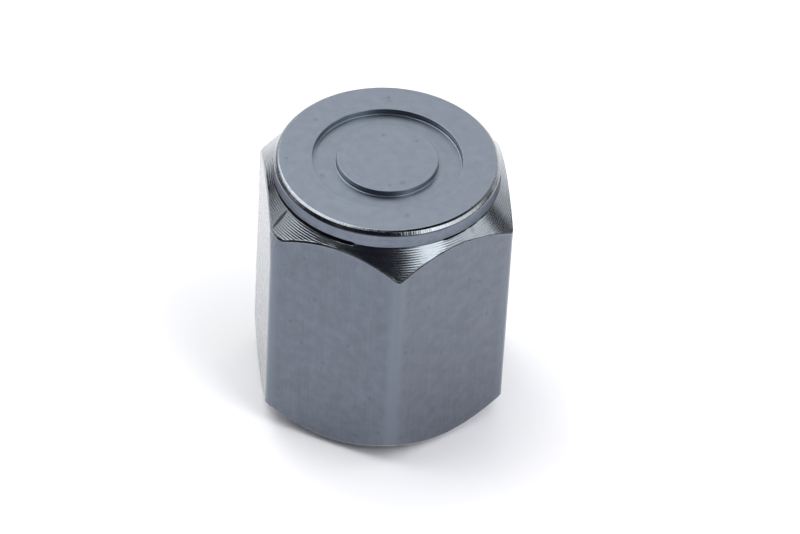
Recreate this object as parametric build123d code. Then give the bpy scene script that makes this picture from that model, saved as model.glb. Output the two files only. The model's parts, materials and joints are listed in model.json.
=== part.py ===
from build123d import *
from math import radians, tan
import os

# Tyre valve cap turned from hexagon bar, standing on its open end. Millimetres, +Z up along the axis, origin at
# the centre of the end face. One corner of the hexagon points along -Y.

# Driving dimensions: the threaded hole
thread_bore_diameter = 7.0    # crests of the internal valve thread, left here as a plain wall
lead_in = 0.5                 # 45 degree opening of the thread at the mouth
recess_depth = 0.5            # how far the seal's recess is cut back behind the thread
thread_runout = 0.9           # free height between the end of the thread and the seal

# Driving dimensions: the rubber ring
seal_thickness = 1.5
seal_width = 2.2              # from the ring's hole to its outer edge
seal_edge_round = 0.25        # on the two edges that face the stem
seal_clearance = 0.05         # between the ring and the recess around it

# Driving dimensions: the outside
total_height = 12.0
crown = 2.6                   # solid metal above the hole
wall = 1.0                    # thinnest metal, between the recess and a flat
bar_corner_round = 0.3        # the drawn bar's corners
end_face_step = 0.35          # the end face's edge lies this far inside the flats
boss_step = 0.3               # the boss's wall lies this far inside the flats
boss_height = 0.77            # from the foot of the boss to the top face
boss_edge = 0.18              # 45 degree break of the boss's edge
cone_angle = 45.0             # slope of the cones that cut the corners, from the level
groove_rim = 1.6              # top face between the boss's wall and the ring groove
groove_width = 1.0
groove_depth = 0.27
turning_allowance = 1.0       # the turned outline reaches this far beyond the bar's corners

# Radii of the hole and the bar
bore_radius = thread_bore_diameter / 2
recess_radius = bore_radius + recess_depth
flat_radius = recess_radius + wall
end_face_radius = flat_radius - end_face_step
boss_radius = flat_radius - boss_step
groove_outer_radius = boss_radius - groove_rim
groove_inner_radius = groove_outer_radius - groove_width

# Heights in the hole, from the crown downwards
seat_height = total_height - crown
seal_bottom = seat_height - seal_thickness
thread_top = seal_bottom - thread_runout


def turn(points):
    """Revolve an outline given as (radius, height) points about the cap's axis."""
    outline = Polyline(*points, close=True)
    return revolve(Plane.XZ * make_face(outline), Axis.Z)


# Drawn hexagon bar with rounded corners
hexagon = RegularPolygon(flat_radius, 6, major_radius=False, rotation=90)
hexagon = fillet(hexagon.vertices(), bar_corner_round)
bar = extrude(hexagon, total_height)

# Turned outline: end face, lower cone, clear of the bar, upper cone, boss with its edge broken, ring groove
cone_rise = tan(radians(cone_angle))
clear_radius = hexagon.bounding_box().size.Y / 2 + turning_allowance
boss_foot = total_height - boss_height
groove_floor = total_height - groove_depth
outside = turn([
    (0, 0),
    (end_face_radius, 0),
    (clear_radius, (clear_radius - end_face_radius) * cone_rise),
    (clear_radius, boss_foot - (clear_radius - boss_radius) * cone_rise),
    (boss_radius, boss_foot),
    (boss_radius, total_height - boss_edge),
    (boss_radius - boss_edge, total_height),
    (groove_outer_radius, total_height),
    (groove_outer_radius, groove_floor),
    (groove_inner_radius, groove_floor),
    (groove_inner_radius, total_height),
    (0, total_height),
])

# Blind hole: lead-in, thread wall, and the recess that keeps the rubber ring behind the thread
hole = turn([
    (0, 0),
    (bore_radius + lead_in, 0),
    (bore_radius, lead_in),
    (bore_radius, thread_top),
    (recess_radius, thread_top),
    (recess_radius, seat_height),
    (0, seat_height),
])

# The cones run out over the flats in curved edges where the turned outline meets the bar
cap_body = (bar & outside) - hole

# Rubber ring, flat on its seat at the end of the hole, with rounded edges towards the stem
seal_radius = recess_radius - seal_clearance
seal_hole_radius = seal_radius - seal_width
seal_section = Rectangle(seal_width, seal_thickness, align=(Align.MIN, Align.MIN))
seal_section = fillet(seal_section.vertices().group_by(Axis.Y)[0], seal_edge_round)
seal_ring = revolve(Plane.XZ * Pos(seal_hole_radius, seal_bottom) * seal_section, Axis.Z)

os.makedirs("parts", exist_ok=True)
export_step(cap_body, "parts/cap_body.step")
export_step(seal_ring, "parts/seal_ring.step")
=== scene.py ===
import json
from dataclasses import dataclass
from math import atan2, ceil, cos, degrees, exp, floor, hypot, pi, radians, sin, tan

import bpy
from mathutils import Matrix, Vector, noise


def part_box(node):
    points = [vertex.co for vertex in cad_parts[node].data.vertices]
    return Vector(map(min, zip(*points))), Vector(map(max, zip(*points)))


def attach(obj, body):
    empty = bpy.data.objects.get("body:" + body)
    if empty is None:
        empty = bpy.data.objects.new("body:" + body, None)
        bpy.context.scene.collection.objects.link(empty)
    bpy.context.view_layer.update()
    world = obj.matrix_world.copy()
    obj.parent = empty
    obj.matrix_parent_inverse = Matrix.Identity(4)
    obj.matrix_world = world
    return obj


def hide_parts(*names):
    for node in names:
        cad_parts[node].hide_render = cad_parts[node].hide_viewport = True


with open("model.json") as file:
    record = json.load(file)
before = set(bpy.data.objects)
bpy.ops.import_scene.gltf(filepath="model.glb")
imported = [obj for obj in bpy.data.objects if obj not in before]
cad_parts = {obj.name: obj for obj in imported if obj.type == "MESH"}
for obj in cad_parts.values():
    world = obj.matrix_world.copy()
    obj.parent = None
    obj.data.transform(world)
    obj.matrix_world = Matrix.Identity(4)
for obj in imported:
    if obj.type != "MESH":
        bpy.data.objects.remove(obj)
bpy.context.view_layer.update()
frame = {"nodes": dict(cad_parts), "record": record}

# Tyre valve cap turned from hexagon bar. Lengths are in millimetres in the frame of the solids, and become
# metres where a mesh, a bump, a lamp or the camera is made.
MM = 0.001

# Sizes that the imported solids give
body_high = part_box("cap_body")[1] / MM
seal_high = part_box("seal_ring")[1] / MM
valve_thread = next(mount for mount in frame["record"]["mounts"] if mount["name"] == "valve_thread")
flat_radius = body_high.x
corner_radius = body_high.y
total_height = body_high.z
seat_height = seal_high.z
bore_radius = valve_thread["dims"]["r_mm"]
thread_length = valve_thread["dims"]["length_mm"]

# Sizes of the solids that are repeated here; the first corner of the hexagon points along -Y
SIDES = 6
FIRST_CORNER = -pi / 2
BAR_CORNER_ROUND = 0.3
END_FACE_STEP = 0.35
BOSS_STEP = 0.3
BOSS_HEIGHT = 0.77
LEAD_IN = 0.5
SEAL_CLEARANCE = 0.05
RING_RIM = 1.6
RING_WIDTH = 1.0
RING_DEPTH = 0.27
CONE_ANGLE = radians(45.0)

# The ring groove's corners
RING_EDGE_ROUND = 0.03
RING_FLOOR_ROUND = 0.05

# The boss's edge: a round from the top face, a tighter round, a flat break and a round into the wall. Each
# slope is that of the surface's normal from the level.
BOSS_EDGE_TOP_SLOPE = radians(74.0)
BOSS_EDGE_TOP_ROUND = 0.36
BOSS_EDGE_TIGHT_SLOPE = radians(57.0)
BOSS_EDGE_TIGHT_ROUND = 0.08
BOSS_EDGE_SLOPE = radians(39.0)
BOSS_EDGE_BREAK = 0.115
BOSS_EDGE_BREAK_SHARES = (0.1, 0.9, 1.0)
BOSS_EDGE_WALL_ROUND = 0.17

# The undercut at the boss's foot, which is highest on one side
FOOT_SLOT_DEPTH = 0.22
FOOT_SLOT_MEAN = -0.03
FOOT_SLOT_RUNOUT = 0.095
FOOT_SLOT_HIGHEST = radians(-115.0)
FOOT_SLOT_THIN = 0.012
FOOT_SLOT_LEAST = 0.005

# Burrs that close the undercut: the middle and half the width of each round the boss, in degrees
FOOT_BURRS = (
    (-89.0, 22.5),
    (-51.2, 0.5),
    (-42.6, 1.0),
    (-22.0, 12.0),
    (38.0, 3.0),
    (96.0, 2.0),
    (131.0, 6.0),
)
FOOT_BURR_RAMP = 1.2
FULL_TURN = 360.0

# Turning grooves on the cones, and torn metal where a cone runs out over a flat
GROOVE_PITCH = 0.098
GROOVE_DEPTH = 0.0046
GROOVE_UNEVENNESS = 0.35
GROOVE_FINENESS = 6.0
TEAR_HEIGHT = 0.009
TEAR_REACH = 0.09
TEAR_FINENESS = 60.0
UPPER_CONE_SEED = 0.0
LOWER_CONE_SEED = 5.0

# The narrow break between a cone and a flat, which is widest on one side
CONE_BREAK = 0.028
CONE_BREAK_SLOPE = radians(28.0)
CONE_BREAK_WIDEST = radians(-160.0)
CONE_BREAK_SWING = 0.9
CONE_BREAK_UNEVENNESS = 0.3
CONE_BREAK_FINENESS = 9.0
CONE_BREAK_SEED = 2.0
CONE_BREAK_LEAST = 0.15
CONE_BREAK_SHARES = (0.25, 0.75)

# The corner of the bar that is knocked in under the upper cone
KNOCK_ANGLE = radians(-150.0)
KNOCK_HALF_WIDTH = radians(4.8)
KNOCK_DEPTH = 0.18
KNOCK_SLOPE = radians(20.0)

# The end face's outer edge; a point this far up the lower cone gives its round a direction
END_EDGE_ROUND = 0.06
END_EDGE_LEAD = 1.0

# The valve thread; its rows keep a small gap from the rings at both of its ends
THREAD_PITCH = 0.794
THREAD_DEPTH = 0.4
THREAD_FLANK = radians(30.0)
THREAD_ROOT_SHARE = 0.125
THREAD_END_GAP = 0.001

# Fineness of the mesh
COLUMNS_ON_FLAT = 54
COLUMNS_ON_CORNER = 8
ARC_STEPS = 6
EDGE_STEPS = 7
EDGE_STEPS_AS_WALL = 4
ROWS_PER_GROOVE = 6
ROWS_PER_THREAD = 12
ROWS_ON_FLAT = 8
FACE_STEP = 0.5
SUPPORT_SHARE = 0.4
CREASE = 0.01

# Radii, heights and steps that follow from these
boss_radius = flat_radius - BOSS_STEP
boss_foot = total_height - BOSS_HEIGHT
ring_outside = boss_radius - RING_RIM
ring_inside = ring_outside - RING_WIDTH
ring_floor = total_height - RING_DEPTH
end_face_radius = flat_radius - END_FACE_STEP
mouth_radius = bore_radius + LEAD_IN
recess_radius = seal_high.x + SEAL_CLEARANCE
thread_top = LEAD_IN + thread_length
cone_rise = tan(CONE_ANGLE)
groove_step = GROOVE_PITCH * cos(CONE_ANGLE)
cone_row_step = groove_step / ROWS_PER_GROOVE
cone_row_count = ceil((corner_radius - boss_radius) / cone_row_step)


# The mesh of the body

class Skin:
    """A mesh made of rings of points round the cap's axis, each joined to the last one."""

    def __init__(self, angles):
        self.angles = angles
        self.last = []
        self.points = []
        self.faces = []
        self.finishes = []

    def pole(self, height):
        """A ring whose points are all one point on the axis."""
        self.points.append((0, 0, height))
        return [len(self.points) - 1] * len(self.angles)

    def ring(self, places):
        """A ring of (radius, height) places; a place of None keeps the point of the last ring."""
        ids = []
        for column, (angle, place) in enumerate(zip(self.angles, places)):
            if place is None:
                ids.append(self.last[column])
                continue
            self.points.append((place[0] * cos(angle), place[0] * sin(angle), place[1]))
            ids.append(len(self.points) - 1)
        return ids

    def face(self, corners, finish):
        """One face, left out where its corners fall together."""
        loop = [point for place, point in enumerate(corners) if point != corners[place - 1]]
        if len(loop) > 2:
            self.faces.append(loop)
            self.finishes.append(finish)

    def join(self, after, finish):
        """Faces from the last ring to a new one, which becomes the last."""
        for column in range(len(after)):
            following = (column + 1) % len(after)
            self.face([self.last[column], after[column], after[following], self.last[following]], finish)
        self.last = after

    def thin(self, place, finish):
        """A turned ring with every second column, joined to the last ring."""
        before = self.last
        self.angles = self.angles[::2]
        after = self.ring([place] * len(self.angles))
        for column, point in enumerate(after):
            following = after[(column + 1) % len(after)]
            left = before[2 * column]
            middle = before[2 * column + 1]
            right = before[(2 * column + 2) % len(before)]
            self.face([left, point, middle], finish)
            self.face([middle, point, following], finish)
            self.face([middle, following, right], finish)
        self.last = after

    def carved(self, rows, finish):
        """Rings for rows of places that differ from column to column."""
        for places in rows:
            self.join(self.ring(places), finish)

    def turned(self, outline, finish):
        """Rings for each point of a turned outline."""
        self.carved([[point] * len(self.angles) for point in outline], finish)

    def make(self, name, materials):
        """The mesh as an object in metres, with one material for each finish."""
        mesh = bpy.data.meshes.new(name)
        mesh.from_pydata([Vector(point) * MM for point in self.points], [], self.faces)
        names = list(materials)
        for material in materials.values():
            mesh.materials.append(material)
        for polygon, finish in zip(mesh.polygons, self.finishes):
            polygon.material_index = names.index(finish)
            polygon.use_smooth = True
        mesh.update()
        made = bpy.data.objects.new(name, mesh)
        bpy.context.scene.collection.objects.link(made)
        return made


def hexagon_columns():
    """Angle and radius of each column of the mesh, evenly along the hexagon's flats and rounded corners."""
    columns = []
    half_corner = pi / SIDES
    corner_centre = (flat_radius - BAR_CORNER_ROUND) / cos(half_corner)
    half_flat = (flat_radius - BAR_CORNER_ROUND) * tan(half_corner)
    for side in range(SIDES):
        middle = FIRST_CORNER + half_corner + side * 2 * pi / SIDES
        for step in range(COLUMNS_ON_FLAT):
            along = half_flat * (2 * step / COLUMNS_ON_FLAT - 1)
            columns.append((flat_radius * cos(middle) - along * sin(middle),
                            flat_radius * sin(middle) + along * cos(middle)))
        corner = middle + half_corner
        for step in range(COLUMNS_ON_CORNER):
            facing = middle + step / COLUMNS_ON_CORNER * 2 * pi / SIDES
            columns.append((corner_centre * cos(corner) + BAR_CORNER_ROUND * cos(facing),
                            corner_centre * sin(corner) + BAR_CORNER_ROUND * sin(facing)))
    return [(atan2(y, x), hypot(x, y)) for x, y in columns]


def softened(corners):
    """Points of an outline of (radius, height, round) corners. Each round is an arc with a row close beside
    each of its ends."""
    points = [Vector(corners[0][:2])]
    for before, corner, after in zip(corners, corners[1:], corners[2:]):
        place = Vector(corner[:2])
        if not corner[2]:
            points.append(place)
            continue
        back = (Vector(before[:2]) - place).normalized()
        onward = (Vector(after[:2]) - place).normalized()
        half_angle = back.angle(onward) / 2
        reach = corner[2] / tan(half_angle)
        centre = place + (back + onward).normalized() * corner[2] / sin(half_angle)
        start = place + back * reach - centre
        end = place + onward * reach - centre
        first = atan2(start.y, start.x)
        sweep = (atan2(end.y, end.x) - first + pi) % (2 * pi) - pi
        beside = SUPPORT_SHARE * reach
        points.append(place + back * (reach + beside))
        for step in range(ARC_STEPS + 1):
            turn = first + sweep * step / ARC_STEPS
            points.append(centre + Vector((cos(turn), sin(turn))) * corner[2])
        points.append(place + onward * (reach + beside))
    points.append(Vector(corners[-1][:2]))
    return points


def unevenness(angle, height, fineness, seed):
    """Smooth noise from -1 to 1 round the cap's axis."""
    return noise.noise(Vector((cos(angle) * fineness, sin(angle) * fineness, height * fineness + seed)))


def groove(radius, angle, seed):
    """Depth of the turning grooves at a radius of a cone."""
    strength = 1 + GROOVE_UNEVENNESS * unevenness(angle, radius, GROOVE_FINENESS, seed)
    return GROOVE_DEPTH * strength * ((1 - cos(2 * pi * radius / groove_step)) / 2)


@dataclass
class Cone:
    """A cone that cuts the bar's corners, from the circle where it starts; way is 1 above and -1 below."""
    start_radius: float
    start_height: float
    way: int
    seed: float

    def height(self, radius):
        return self.start_height - self.way * (radius - self.start_radius) * cone_rise

    def place(self, radius, angle, margin):
        """A point of the surface, sunk by the turning grooves and torn close to the edge of the flat."""
        torn = TEAR_HEIGHT * exp(-margin / TEAR_REACH) * unevenness(angle, radius, TEAR_FINENESS, self.seed)
        sink = (groove(radius, angle, self.seed) - torn) * cos(CONE_ANGLE)
        return (radius - sink, self.height(radius) - self.way * sink)

    def edge(self, radius, angle):
        """Points across the narrow break where the cone meets a flat, from the cone."""
        height = self.height(radius)
        uneven = CONE_BREAK_UNEVENNESS * unevenness(angle, height, CONE_BREAK_FINENESS, CONE_BREAK_SEED)
        width = 1 + CONE_BREAK_SWING * cos(angle - CONE_BREAK_WIDEST) + uneven
        reach = CONE_BREAK * max(width, CONE_BREAK_LEAST)
        on_cone = Vector((radius - reach, height + self.way * reach * cone_rise))
        on_flat = Vector((radius, on_cone.y - self.way * reach / tan(CONE_BREAK_SLOPE)))
        inwards = Vector((-1, self.way * cone_rise)).normalized()
        return [
            on_cone + inwards * CREASE,
            on_cone,
            *(on_cone.lerp(on_flat, share) for share in CONE_BREAK_SHARES),
            on_flat,
            on_flat - Vector((0, self.way * CREASE)),
        ]

    def rows(self, angles, starts, edges):
        """Rows of places outwards; a column is on the cone from the radius where it starts to its edge."""
        rows = []
        for step in range(1, cone_row_count):
            radius = self.start_radius + step * cone_row_step
            rows.append([
                self.place(radius, angle, edge[0].x - radius) if start < radius < edge[0].x else None
                for angle, start, edge in zip(angles, starts, edges)
            ])
        return rows


upper_cone = Cone(boss_radius, boss_foot, way=1, seed=UPPER_CONE_SEED)
lower_cone = Cone(end_face_radius, 0.0, way=-1, seed=LOWER_CONE_SEED)


def knock(angle):
    """How far one corner of the bar is knocked in under the upper cone."""
    return KNOCK_DEPTH * max(0.0, 1 - abs(angle - KNOCK_ANGLE) / KNOCK_HALF_WIDTH)


def arc(start, radius, first, last):
    """Points of an arc of an outline after its start; first and last are the slopes of its normal."""
    centre = start - Vector((cos(first), sin(first))) * radius
    slopes = [first + (last - first) * step / EDGE_STEPS for step in range(1, EDGE_STEPS + 1)]
    return [centre + Vector((cos(slope), sin(slope))) * radius for slope in slopes]


def boss_edge():
    """Points of the boss's edge, from the top face to the wall."""
    points = [Vector((0, total_height))]
    points += arc(points[-1], BOSS_EDGE_TOP_ROUND, BOSS_EDGE_TOP_SLOPE, BOSS_EDGE_TIGHT_SLOPE)
    points += arc(points[-1], BOSS_EDGE_TIGHT_ROUND, BOSS_EDGE_TIGHT_SLOPE, BOSS_EDGE_SLOPE)
    downwards = Vector((sin(BOSS_EDGE_SLOPE), -cos(BOSS_EDGE_SLOPE)))
    points += [points[-1] + downwards * BOSS_EDGE_BREAK * share for share in BOSS_EDGE_BREAK_SHARES]
    points += arc(points[-1], BOSS_EDGE_WALL_ROUND, BOSS_EDGE_SLOPE, 0.0)
    inset = Vector((boss_radius - points[-1].x, 0))
    return [point + inset for point in points]


def foot_slot(angle):
    """Half the height of the undercut at the boss's foot, which burr closes here and there."""
    opening = 1.0
    for middle, half_width in FOOT_BURRS:
        away = abs((degrees(angle) - middle + FULL_TURN / 2) % FULL_TURN - FULL_TURN / 2)
        opening = min(opening, max(0.0, (away - half_width) / FOOT_BURR_RAMP))
    half = max(FOOT_SLOT_MEAN + FOOT_SLOT_RUNOUT * cos(angle - FOOT_SLOT_HIGHEST), FOOT_SLOT_THIN)
    return FOOT_SLOT_LEAST + half * opening


def thread_radius(angle, height):
    """Radius of the threaded wall: a right-handed thread cut into the bore."""
    phase = (height / THREAD_PITCH - angle / (2 * pi)) % 1
    from_root = abs(phase - 1 / 2) * THREAD_PITCH - THREAD_ROOT_SHARE * THREAD_PITCH / 2
    cut = THREAD_DEPTH - max(from_root, 0.0) / tan(THREAD_FLANK)
    return bore_radius + max(cut, 0.0)


def add_top(skin):
    """Top face with a plain ring groove cut into it."""
    skin.last = skin.pole(total_height)
    steps = range(1, floor(ring_inside / FACE_STEP))
    skin.turned([(FACE_STEP * step, total_height) for step in steps], "top")
    cut = softened([
        (0, total_height, 0),
        (ring_inside, total_height, RING_EDGE_ROUND),
        (ring_inside, ring_floor, RING_FLOOR_ROUND),
        (ring_outside, ring_floor, RING_FLOOR_ROUND),
        (ring_outside, total_height, RING_EDGE_ROUND),
        (boss_radius, total_height, 0),
    ])
    skin.turned(cut[1:-1], "top")


def add_boss(skin):
    """The boss's edge and wall; the last steps of the edge have the wall's finish."""
    edge = boss_edge()
    skin.turned([(edge[0].x - CREASE, total_height)], "top")
    skin.turned(edge[:-EDGE_STEPS_AS_WALL], "edge")
    skin.turned(edge[-EDGE_STEPS_AS_WALL:], "wall")
    skin.turned([(boss_radius, edge[-1].y - CREASE)], "wall")


def add_undercut(skin, slots, lips):
    """The undercut at the boss's foot, from the wall inwards and out again to its lip on the upper cone."""
    inner = boss_radius - FOOT_SLOT_DEPTH
    skin.carved([
        [(boss_radius, boss_foot + slot + 2 * CREASE) for slot in slots],
        [(boss_radius, boss_foot + slot + CREASE) for slot in slots],
        [(boss_radius - CREASE, boss_foot + slot) for slot in slots],
    ], "wall")
    # The inside of the undercut takes a finish painted near-black as shade
    skin.carved([
        [(boss_radius - 2 * CREASE, boss_foot + slot) for slot in slots],
        [(inner + CREASE, boss_foot + slot) for slot in slots],
        [(inner, boss_foot)] * len(slots),
        [(inner + CREASE, boss_foot - slot) for slot in slots],
        [(lip - CREASE, upper_cone.height(lip)) for lip in lips],
        [(lip, upper_cone.height(lip)) for lip in lips],
    ], "undercut")


def add_upper_cone(skin, lips, edges):
    """The upper cone outwards until each column meets its flat, and the break there."""
    skin.carved(upper_cone.rows(skin.angles, lips, edges), "cone")
    skin.carved(zip(*edges), "cone")


def add_flats(skin, columns, upper_edges, lower_edges):
    """The flats between the two cones; the knocked corner slopes out to its full radius first."""
    radii = [radius for angle, radius in columns]
    knocks = [knock(angle) for angle, radius in columns]
    starts = [edge[-1].y - depth / tan(KNOCK_SLOPE) for edge, depth in zip(upper_edges, knocks)]
    ends = [edge[-1].y for edge in lower_edges]
    rows = [[(radius, start) if depth else None for radius, start, depth in zip(radii, starts, knocks)]]
    for step in range(1, ROWS_ON_FLAT + 1):
        share = step / (ROWS_ON_FLAT + 1)
        heights = [start * (1 - share) + end * share for start, end in zip(starts, ends)]
        rows.append(list(zip(radii, heights)))
    rows.append([edge[-1] for edge in lower_edges])
    skin.carved(rows, "flat")


def add_lower_cone(skin, edges):
    """The break below the flats, without the row that ends them, and the lower cone inwards."""
    breaks = list(zip(*edges))[:-1]
    skin.carved(reversed(breaks), "cone")
    starts = [end_face_radius] * len(edges)
    skin.carved(reversed(lower_cone.rows(skin.angles, starts, edges)), "cone")


def add_end_face(skin):
    """The rounded outer edge of the end face, and the face half-way to the hole's mouth."""
    lead_radius = end_face_radius + END_EDGE_LEAD
    edge = softened([
        (lead_radius, lower_cone.height(lead_radius), 0),
        (end_face_radius, 0, END_EDGE_ROUND),
        ((end_face_radius + mouth_radius) / 2, 0, 0),
    ])
    skin.turned(edge[1:], "end")


def add_thread(skin):
    """The lead-in and the thread. Its rows climb, so that the last column meets the first one pitch up."""
    row_step = THREAD_PITCH / ROWS_PER_THREAD
    row_count = ROWS_PER_THREAD + ceil(thread_top / row_step)
    climbs = [((angle - skin.angles[0]) / (2 * pi) % 1) * THREAD_PITCH for angle in skin.angles]
    grid = [skin.last]
    for step in range(1, row_count + 1):
        places = []
        for angle, climb in zip(skin.angles, climbs):
            height = (step - ROWS_PER_THREAD) * row_step + climb
            opening = mouth_radius - height
            inside = THREAD_END_GAP < height < thread_top - THREAD_END_GAP
            places.append((max(thread_radius(angle, height), opening), height) if inside else None)
        skin.last = skin.ring(places)
        grid.append(skin.last)
    for step in range(row_count):
        lower = grid[step]
        upper = grid[step + 1]
        for column in range(len(lower) - 1):
            skin.face([lower[column], upper[column], upper[column + 1], lower[column + 1]], "bore")
        above = min(step + ROWS_PER_THREAD, row_count)
        above_next = min(step + ROWS_PER_THREAD + 1, row_count)
        skin.face([lower[-1], upper[-1], grid[above_next][0], grid[above][0]], "bore")


def add_hole(skin):
    """The threaded hole with every second column, and the recess with the seal's seat at its end."""
    skin.thin((mouth_radius, 0), "end")
    add_thread(skin)
    skin.carved([[(thread_radius(angle, thread_top), thread_top) for angle in skin.angles]], "bore")
    skin.turned([
        (recess_radius, thread_top),
        (recess_radius, seat_height),
        (recess_radius / 2, seat_height),
    ], "bore")
    skin.join(skin.pole(seat_height), "bore")


def build_body(materials):
    """The cap's body: top, boss, cones, flats, end face and threaded hole in one closed mesh."""
    columns = hexagon_columns()
    angles = [angle for angle, radius in columns]
    slots = [foot_slot(angle) for angle in angles]
    lips = [boss_radius + slot for slot in slots]
    upper_edges = [upper_cone.edge(radius - knock(angle), angle) for angle, radius in columns]
    lower_edges = [lower_cone.edge(radius, angle) for angle, radius in columns]
    skin = Skin(angles)
    add_top(skin)
    add_boss(skin)
    add_undercut(skin, slots, lips)
    add_upper_cone(skin, lips, upper_edges)
    add_flats(skin, columns, upper_edges, lower_edges)
    add_lower_cone(skin, lower_edges)
    add_end_face(skin)
    add_hole(skin)
    return skin.make("cap_body_turned", materials)


# Materials

# Lines along the metal's grain: upright on the drawn flats, round the axis on turned faces, across the edge
# where the tool has chattered
DRAWN_STRETCH = (16.0, 16.0, 0.4)
CHATTER_FINENESS = 80.0
TURNED_FINENESS = 14.0
TURNED_DRIFT = 0.02
LINE_SCALE = 1.0
LINE_DETAIL = 4.0
LINE_SHARE = 0.5
LINE_ROUGHNESS = 0.06

# Mottling of the oxide
MOTTLE_SCALE = 2.1
MOTTLE_DETAIL = 5.0
MOTTLE_ROUGHNESS = 0.6
OXIDE_IOR = 1.6

# Sums of lines and mottling at which the metal has its dark and its pale colour
SHADE_DARK = 0.55
SHADE_PALE = 0.95

# Small dark specks: a cell of the pattern has one where its chance is above the least
SPECK_SCALE = 2.2
SPECK_LEAST_CHANCE = 0.7
SPECK_SIZE = 0.4
SPECK_STRENGTH = 0.5
SPECK_DARK = (0.031, 0.039, 0.05)

# Dark streaks on the upper cone: angle round the cap, radius, direction of the long side, half size. A
# streak is at its darkest up to a share of its half size, and fades out from there.
STREAKS = (
    (-154.1, 5.1, -154.1, (0.55, 0.1, 0.55)),
    (-147.8, 5.54, -54.7, (0.28, 0.06, 0.08)),
)
STREAK_FULL = 0.7

# The flats are painted paler towards the bar's corners, a painted highlight on their rounds, from this
# share of the way between the flats' radius and the corners'
CORNER_HIGHLIGHT_START = 0.72

# Colours of the metal
WHITE = (1.0, 1.0, 1.0)
TOP_DARK = (0.158, 0.194, 0.24)
TOP_PALE = (0.19, 0.23, 0.285)
EDGE_DARK = (0.202, 0.222, 0.246)
EDGE_PALE = (0.243, 0.265, 0.293)
WALL_DARK = (0.15, 0.171, 0.211)
WALL_PALE = (0.193, 0.217, 0.266)
WALL_GRAZING = (0.47, 0.47, 0.47)
# Painted shade: the near-black colours of the undercut; the darker one also colours the dark streaks on the
# upper cone
SHADE_AND_STREAK_DARK = (0.012, 0.013, 0.016)
UNDERCUT_SHADE_PALE = (0.03, 0.032, 0.038)
CUT_DARK = (0.164, 0.189, 0.213)
CUT_PALE = (0.197, 0.225, 0.254)
FLAT_DARK = (0.068, 0.0892, 0.1205)
FLAT_PALE = (0.1, 0.121, 0.165)
# Painted highlight on the flats towards the bar's corners
FLAT_CORNER_HIGHLIGHT = (0.111, 0.139, 0.182)

# The rubber of the seal
RUBBER_DARK = (0.012, 0.012, 0.013)
RUBBER_PALE = (0.03, 0.03, 0.031)
RUBBER_SMOOTHEST = 0.6
RUBBER_ROUGHEST = 0.8
RUBBER_GRAIN_SCALE = 9.0
RUBBER_GRAIN_DETAIL = 4.0
RUBBER_GRAIN_HEIGHT = 0.01


def give(tree, made, inputs):
    """Give a node its inputs, each a value or another node's output."""
    for name, value in inputs.items():
        if isinstance(value, bpy.types.NodeSocket):
            tree.links.new(value, made.inputs[name])
        else:
            made.inputs[name].default_value = value


def node(tree, kind, inputs, **settings):
    """A shader node with its inputs and settings."""
    made = tree.nodes.new("ShaderNode" + kind)
    for name, value in settings.items():
        setattr(made, name, value)
    give(tree, made, inputs)
    return made


def stretched(tree, vector, factors):
    return node(tree, "VectorMath", {0: vector, 1: factors}, operation="MULTIPLY").outputs[0]


def scaled(tree, vector, factor):
    return node(tree, "VectorMath", {0: vector, 3: factor}, operation="SCALE").outputs[0]


def levelled(tree, vector):
    """A vector without its upward part."""
    return stretched(tree, vector, (1.0, 1.0, 0.0))


def normalised(tree, vector):
    return node(tree, "VectorMath", {0: vector}, operation="NORMALIZE").outputs[0]


def length(tree, vector):
    return node(tree, "VectorMath", {0: vector}, operation="LENGTH").outputs["Value"]


def ramp(tree, value, start, end, kind="LINEAR"):
    """A share that goes from 0 to 1 between two values."""
    ends = {"Value": value, "From Min": start, "From Max": end}
    return node(tree, "MapRange", ends, interpolation_type=kind).outputs["Result"]


def span(tree, share, low, high):
    """A value that goes between two ends with a share from 0 to 1."""
    return node(tree, "MapRange", {"Value": share, "To Min": low, "To Max": high}).outputs["Result"]


def opaque(colour):
    """A colour of three numbers with full alpha; another node's output stays as it is."""
    return colour if isinstance(colour, bpy.types.NodeSocket) else (*colour, 1)


def mixed(tree, share, first, second):
    """A colour between two others, each three numbers or another node's output."""
    colours = {"Fac": share, "Color1": opaque(first), "Color2": opaque(second)}
    return node(tree, "MixRGB", colours).outputs[0]


def bumped(tree, height, distance):
    """Normals of a surface with a relief; the distance is its full height in millimetres."""
    relief = {"Height": height, "Distance": distance * MM, "Strength": 1.0}
    return node(tree, "Bump", relief).outputs["Normal"]


def new_material(name):
    """A material with its node tree and its shader."""
    material = bpy.data.materials.new(name)
    material.use_nodes = True
    return material, material.node_tree, material.node_tree.nodes["Principled BSDF"]


def millimetre_place(tree):
    """The point's place on the object, in millimetres."""
    return scaled(tree, node(tree, "TexCoord", {}).outputs["Object"], 1 / MM)


def grain_place(tree, place, grain):
    """Coordinates that change slowly along the grain."""
    if grain == "drawn":
        return stretched(tree, place, DRAWN_STRETCH)
    level = levelled(tree, place)
    if grain == "chatter":
        return scaled(tree, normalised(tree, level), CHATTER_FINENESS)
    parts = node(tree, "SeparateXYZ", {0: place}).outputs
    drift = node(tree, "Math", {0: parts["X"], 1: TURNED_DRIFT}, operation="MULTIPLY").outputs[0]
    turned = node(tree, "CombineXYZ", {0: length(tree, level), 1: parts["Z"], 2: drift}).outputs[0]
    return scaled(tree, turned, TURNED_FINENESS)


def specks(tree, place):
    """How strongly a small dark speck shows at a place."""
    cells = node(tree, "TexVoronoi", {"Vector": place, "Scale": SPECK_SCALE}).outputs
    chance = node(tree, "SeparateColor", {0: cells["Color"]}).outputs["Red"]
    size = node(tree, "MapRange", {
        "Value": chance,
        "From Min": SPECK_LEAST_CHANCE,
        "From Max": 1.0,
        "To Min": 0.0,
        "To Max": SPECK_SIZE,
    }).outputs["Result"]
    return node(tree, "MapRange", {
        "Value": cells["Distance"],
        "From Min": 0.0,
        "From Max": size,
        "To Min": SPECK_STRENGTH,
        "To Max": 0.0,
    }).outputs["Result"]


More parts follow.
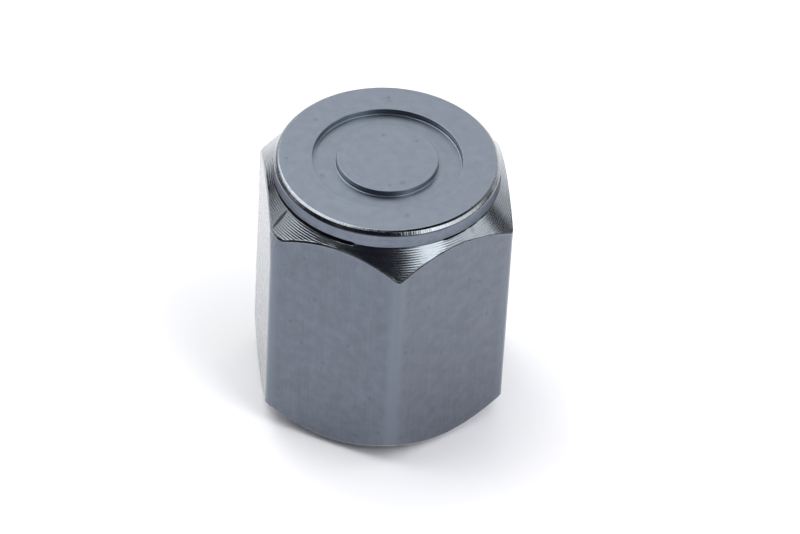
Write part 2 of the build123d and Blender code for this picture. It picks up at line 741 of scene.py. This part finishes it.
def anodised(name, grain, dark, pale, roughness, line_height, coat=0.0, coat_roughness=0.0, grazing=WHITE):
    """Grey anodised aluminium with fine lines along its grain, soft mottling and a few small dark specks.
    The coat is clear oxide, and grazing tints the metal where it is seen at a low angle."""
    material, tree, shader = new_material(name)
    place = millimetre_place(tree)
    along = grain_place(tree, place, grain)
    lines = node(tree, "TexNoise", {
        "Vector": along, "Scale": LINE_SCALE, "Detail": LINE_DETAIL,
    }).outputs["Fac"]
    mottle = node(tree, "TexNoise", {
        "Vector": place, "Scale": MOTTLE_SCALE, "Detail": MOTTLE_DETAIL, "Roughness": MOTTLE_ROUGHNESS,
    }).outputs["Fac"]
    both = node(tree, "Math", {0: lines, 1: LINE_SHARE, 2: mottle}, operation="MULTIPLY_ADD").outputs[0]
    metal = mixed(tree, ramp(tree, both, SHADE_DARK, SHADE_PALE), dark, pale)
    give(tree, shader, {
        "Base Color": mixed(tree, specks(tree, place), metal, SPECK_DARK),
        "Metallic": 1.0,
        "Roughness": span(tree, lines, roughness - LINE_ROUGHNESS, roughness + LINE_ROUGHNESS),
        "Specular Tint": opaque(grazing),
        "Coat Weight": coat,
        "Coat IOR": OXIDE_IOR,
        "Coat Roughness": coat_roughness,
        "Normal": bumped(tree, lines, line_height),
    })
    return material


def paint_over(material, share, colour):
    """Cover a material's colour with another one, by a share from 0 to 1."""
    tree = material.node_tree
    base = tree.nodes["Principled BSDF"].inputs["Base Color"]
    tree.links.new(mixed(tree, share, base.links[0].from_socket, colour), base)


def paint_corner_highlight(material):
    """Make the metal paler towards the bar's corners: a painted highlight on their rounds."""
    tree = material.node_tree
    radius = length(tree, levelled(tree, millimetre_place(tree)))
    start = flat_radius + CORNER_HIGHLIGHT_START * (corner_radius - flat_radius)
    paint_over(material, ramp(tree, radius, start, corner_radius, "SMOOTHSTEP"), FLAT_CORNER_HIGHLIGHT)


def darken_streak(material, angle, radius, direction_angle, half_size):
    """Darken a streak on the upper cone; its half size is given along its direction, across and upwards."""
    tree = material.node_tree
    around = radians(angle)
    local = node(tree, "Mapping", {
        "Vector": millimetre_place(tree),
        "Location": (radius * cos(around), radius * sin(around), upper_cone.height(radius)),
        "Rotation": (0.0, 0.0, radians(direction_angle)),
        "Scale": half_size,
    }, vector_type="TEXTURE").outputs[0]
    paint_over(material, ramp(tree, length(tree, local), 1.0, STREAK_FULL), SHADE_AND_STREAK_DARK)


def rubber(name):
    """Matte black rubber with a fine moulded grain."""
    material, tree, shader = new_material(name)
    grain = node(tree, "TexNoise", {
        "Vector": millimetre_place(tree), "Scale": RUBBER_GRAIN_SCALE, "Detail": RUBBER_GRAIN_DETAIL,
    }).outputs["Fac"]
    give(tree, shader, {
        "Base Color": mixed(tree, grain, RUBBER_DARK, RUBBER_PALE),
        "Roughness": span(tree, grain, RUBBER_SMOOTHEST, RUBBER_ROUGHEST),
        "Normal": bumped(tree, grain, RUBBER_GRAIN_HEIGHT),
    })
    return material


body_finishes = {
    "top": anodised("anodised_top", "turned", TOP_DARK, TOP_PALE,
                    roughness=0.36, line_height=0.001, coat=1.0, coat_roughness=0.36),
    "edge": anodised("anodised_edge", "chatter", EDGE_DARK, EDGE_PALE,
                     roughness=0.11, line_height=0.015, coat=1.0, coat_roughness=0.1),
    "wall": anodised("anodised_wall", "turned", WALL_DARK, WALL_PALE,
                     roughness=0.3, line_height=0.005, grazing=WALL_GRAZING),
    # The undercut's finish is painted shade
    "undercut": anodised("undercut_painted_shade", "turned", SHADE_AND_STREAK_DARK, UNDERCUT_SHADE_PALE,
                         roughness=0.5, line_height=0.002, coat=0.2, coat_roughness=0.4),
    "cone": anodised("anodised_cone", "turned", CUT_DARK, CUT_PALE,
                     roughness=0.2, line_height=0.001, coat=1.0, coat_roughness=0.2),
    "flat": anodised("anodised_flat", "drawn", FLAT_DARK, FLAT_PALE,
                     roughness=0.38, line_height=0.001, coat=1.0, coat_roughness=0.2),
    "end": anodised("anodised_end", "turned", CUT_DARK, CUT_PALE,
                    roughness=0.28, line_height=0.002, coat=1.0, coat_roughness=0.28),
    "bore": anodised("anodised_bore", "turned", CUT_DARK, CUT_PALE,
                     roughness=0.32, line_height=0.001, coat=1.0, coat_roughness=0.32),
}
# The flats get a painted highlight towards the corners
paint_corner_highlight(body_finishes["flat"])
for streak in STREAKS:
    darken_streak(body_finishes["cone"], *streak)
body = build_body(body_finishes)
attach(body, "root")
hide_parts("cap_body")

seal = frame["nodes"]["seal_ring"]
seal.data.materials.clear()
seal.data.materials.append(rubber("seal_rubber_matte"))


# Stage: a white floor, soft lamps all round, and a world that is dim apart from a pale back

# The camera of the photograph. Angles of the stage are in degrees.
CAMERA_AZIMUTH = -7.91
CAMERA_ELEVATION = 41.879
CAMERA_ROLL = 3.289
CAMERA_DISTANCE = 222.66
CAMERA_AIM_RIGHT = 1.0238
CAMERA_AIM_UP = 4.4365
SENSOR_WIDTH = 36.0
IMAGE_WIDTH = 800
FOCAL_PIXELS = 5220.8
CLIP_START = 10.0
CLIP_END = 10000.0

# The floor, just below the end face, with the tint by which it scatters light and the one that is seen
FLOOR_REACH = 1000.0
FLOOR_GAP = 0.005
FLOOR_TINT = (0.86, 0.86, 0.87)
FLOOR_SEEN = WHITE

# The lamps, and the tints of two of the fills
LAMP_DISTANCE = 500.0
FILL_FRONT_TINT = (0.94, 0.93, 1.13)
FILL_RIGHT_TINT = (0.97, 0.965, 1.065)

# The pale back fades out between an inner and an outer angle, to its sides and upwards
BACK_AZIMUTH = 180.0
BACK_SIDE_INNER = 34.0
BACK_SIDE_OUTER = 48.0
BACK_TOP_INNER = 58.0
BACK_TOP_OUTER = 72.0
WORLD_DIM = (0.018, 0.019, 0.031)
WORLD_BACK = (1.0, 1.0, 1.01)


def direction(azimuth, elevation):
    """Unit vector from the cap; azimuth 0 is the side of -Y, and elevation is above the floor."""
    around = radians(azimuth)
    above = radians(elevation)
    return Vector((sin(around) * cos(above), -cos(around) * cos(above), sin(above)))


def softbox(name, azimuth, elevation, wide, high, radiance, tint=WHITE):
    """A rectangular lamp that faces the cap. Its azimuth counts from the camera's; its size is an angle."""
    lamp = bpy.data.lights.new(name, "AREA")
    lamp.shape = "RECTANGLE"
    lamp.size = 2 * LAMP_DISTANCE * MM * tan(radians(wide / 2))
    lamp.size_y = 2 * LAMP_DISTANCE * MM * tan(radians(high / 2))
    lamp.energy = radiance * pi * lamp.size * lamp.size_y
    lamp.color = tint
    made = bpy.data.objects.new(name, lamp)
    towards = direction(CAMERA_AZIMUTH + azimuth, elevation)
    made.location = towards * LAMP_DISTANCE * MM
    made.rotation_mode = "QUATERNION"
    made.rotation_quaternion = towards.to_track_quat("Z", "Y")
    bpy.context.scene.collection.objects.link(made)
    return made


def build_floor():
    """A flat white floor with the cap's shadow, a little whiter where the camera or the metal sees it."""
    reach = FLOOR_REACH * MM
    mesh = bpy.data.meshes.new("floor")
    corners = [(-reach, -reach), (reach, -reach), (reach, reach), (-reach, reach)]
    mesh.from_pydata([(x, y, -FLOOR_GAP * MM) for x, y in corners], [], [(0, 1, 2, 3)])
    made = bpy.data.objects.new("floor", mesh)
    bpy.context.scene.collection.objects.link(made)
    material, tree, shader = new_material("white_floor")
    ray = node(tree, "LightPath", {}).outputs
    seen = ray["Is Camera Ray"]
    for mirrored in ("Is Glossy Ray", "Is Transmission Ray"):
        seen = node(tree, "Math", {0: seen, 1: ray[mirrored]}, operation="MAXIMUM").outputs[0]
    give(tree, shader, {
        "Base Color": mixed(tree, seen, FLOOR_TINT, FLOOR_SEEN),
        "Roughness": 1.0,
        "Specular IOR Level": 0.0,
    })
    mesh.materials.append(material)


def build_world():
    """Dim all round, with a broad white back that stands behind the cap."""
    world = bpy.data.worlds.new("studio")
    world.use_nodes = True
    tree = world.node_tree
    place = node(tree, "TexCoord", {}).outputs["Generated"]
    level = normalised(tree, levelled(tree, place))
    behind = direction(CAMERA_AZIMUTH + BACK_AZIMUTH, 0.0)
    near = node(tree, "VectorMath", {0: level, 1: behind}, operation="DOT_PRODUCT").outputs["Value"]
    across = ramp(tree, near, cos(radians(BACK_SIDE_OUTER)), cos(radians(BACK_SIDE_INNER)), "SMOOTHSTEP")
    height = node(tree, "SeparateXYZ", {0: place}).outputs["Z"]
    below = ramp(tree, height, sin(radians(BACK_TOP_OUTER)), sin(radians(BACK_TOP_INNER)), "SMOOTHSTEP")
    share = node(tree, "Math", {0: across, 1: below}, operation="MULTIPLY").outputs[0]
    give(tree, tree.nodes["Background"], {"Color": mixed(tree, share, WORLD_DIM, WORLD_BACK)})
    bpy.context.scene.world = world


def build_camera():
    """The camera of the photograph, from its direction, roll and the point of the cap that it aims at."""
    back = direction(CAMERA_AZIMUTH, CAMERA_ELEVATION)
    level = Vector((cos(radians(CAMERA_AZIMUTH)), sin(radians(CAMERA_AZIMUTH)), 0))
    upright = back.cross(level)
    roll = radians(CAMERA_ROLL)
    right = level * cos(roll) + upright * sin(roll)
    up = upright * cos(roll) - level * sin(roll)
    place = right * CAMERA_AIM_RIGHT + up * CAMERA_AIM_UP + back * CAMERA_DISTANCE
    data = bpy.data.cameras.new("camera")
    data.sensor_width = SENSOR_WIDTH
    data.lens = FOCAL_PIXELS * SENSOR_WIDTH / IMAGE_WIDTH
    data.clip_start = CLIP_START * MM
    data.clip_end = CLIP_END * MM
    made = bpy.data.objects.new("camera", data)
    made.matrix_world = Matrix.Translation(place * MM) @ Matrix((right, up, back)).transposed().to_4x4()
    bpy.context.scene.collection.objects.link(made)
    bpy.context.scene.camera = made


softbox("softbox_left", azimuth=-118.0, elevation=58.5, wide=54.0, high=43.0, radiance=2.5)
softbox("panel_left", azimuth=-66.0, elevation=40.0, wide=42.0, high=12.0, radiance=0.25)
softbox("panel_left_low", azimuth=-105.0, elevation=26.0, wide=32.0, high=20.0, radiance=1.0)
softbox("softbox_right", azimuth=47.5, elevation=45.0, wide=20.0, high=38.0, radiance=3.3)
softbox("panel_right", azimuth=81.0, elevation=30.0, wide=44.0, high=28.0, radiance=1.9)
softbox("panel_back_low", azimuth=134.0, elevation=12.0, wide=34.0, high=18.0, radiance=1.15)
softbox("panel_back", azimuth=118.0, elevation=38.0, wide=26.0, high=24.0, radiance=0.4)
softbox("panel_front_low", azimuth=0.0, elevation=14.0, wide=84.0, high=28.0, radiance=0.27)

# Fills that light the floor; the metal doesn't mirror them
fills = [
    softbox("fill_overhead", azimuth=180.0, elevation=88.0, wide=40.0, high=40.0, radiance=0.9),
    softbox("fill_front", azimuth=0.0, elevation=60.0, wide=50.0, high=30.0, radiance=0.5,
            tint=FILL_FRONT_TINT),
    softbox("fill_right", azimuth=80.0, elevation=60.0, wide=50.0, high=30.0, radiance=1.25,
            tint=FILL_RIGHT_TINT),
]
for fill in fills:
    fill.visible_glossy = False
build_floor()
build_world()
build_camera()
bpy.context.scene.view_settings.view_transform = "Standard"
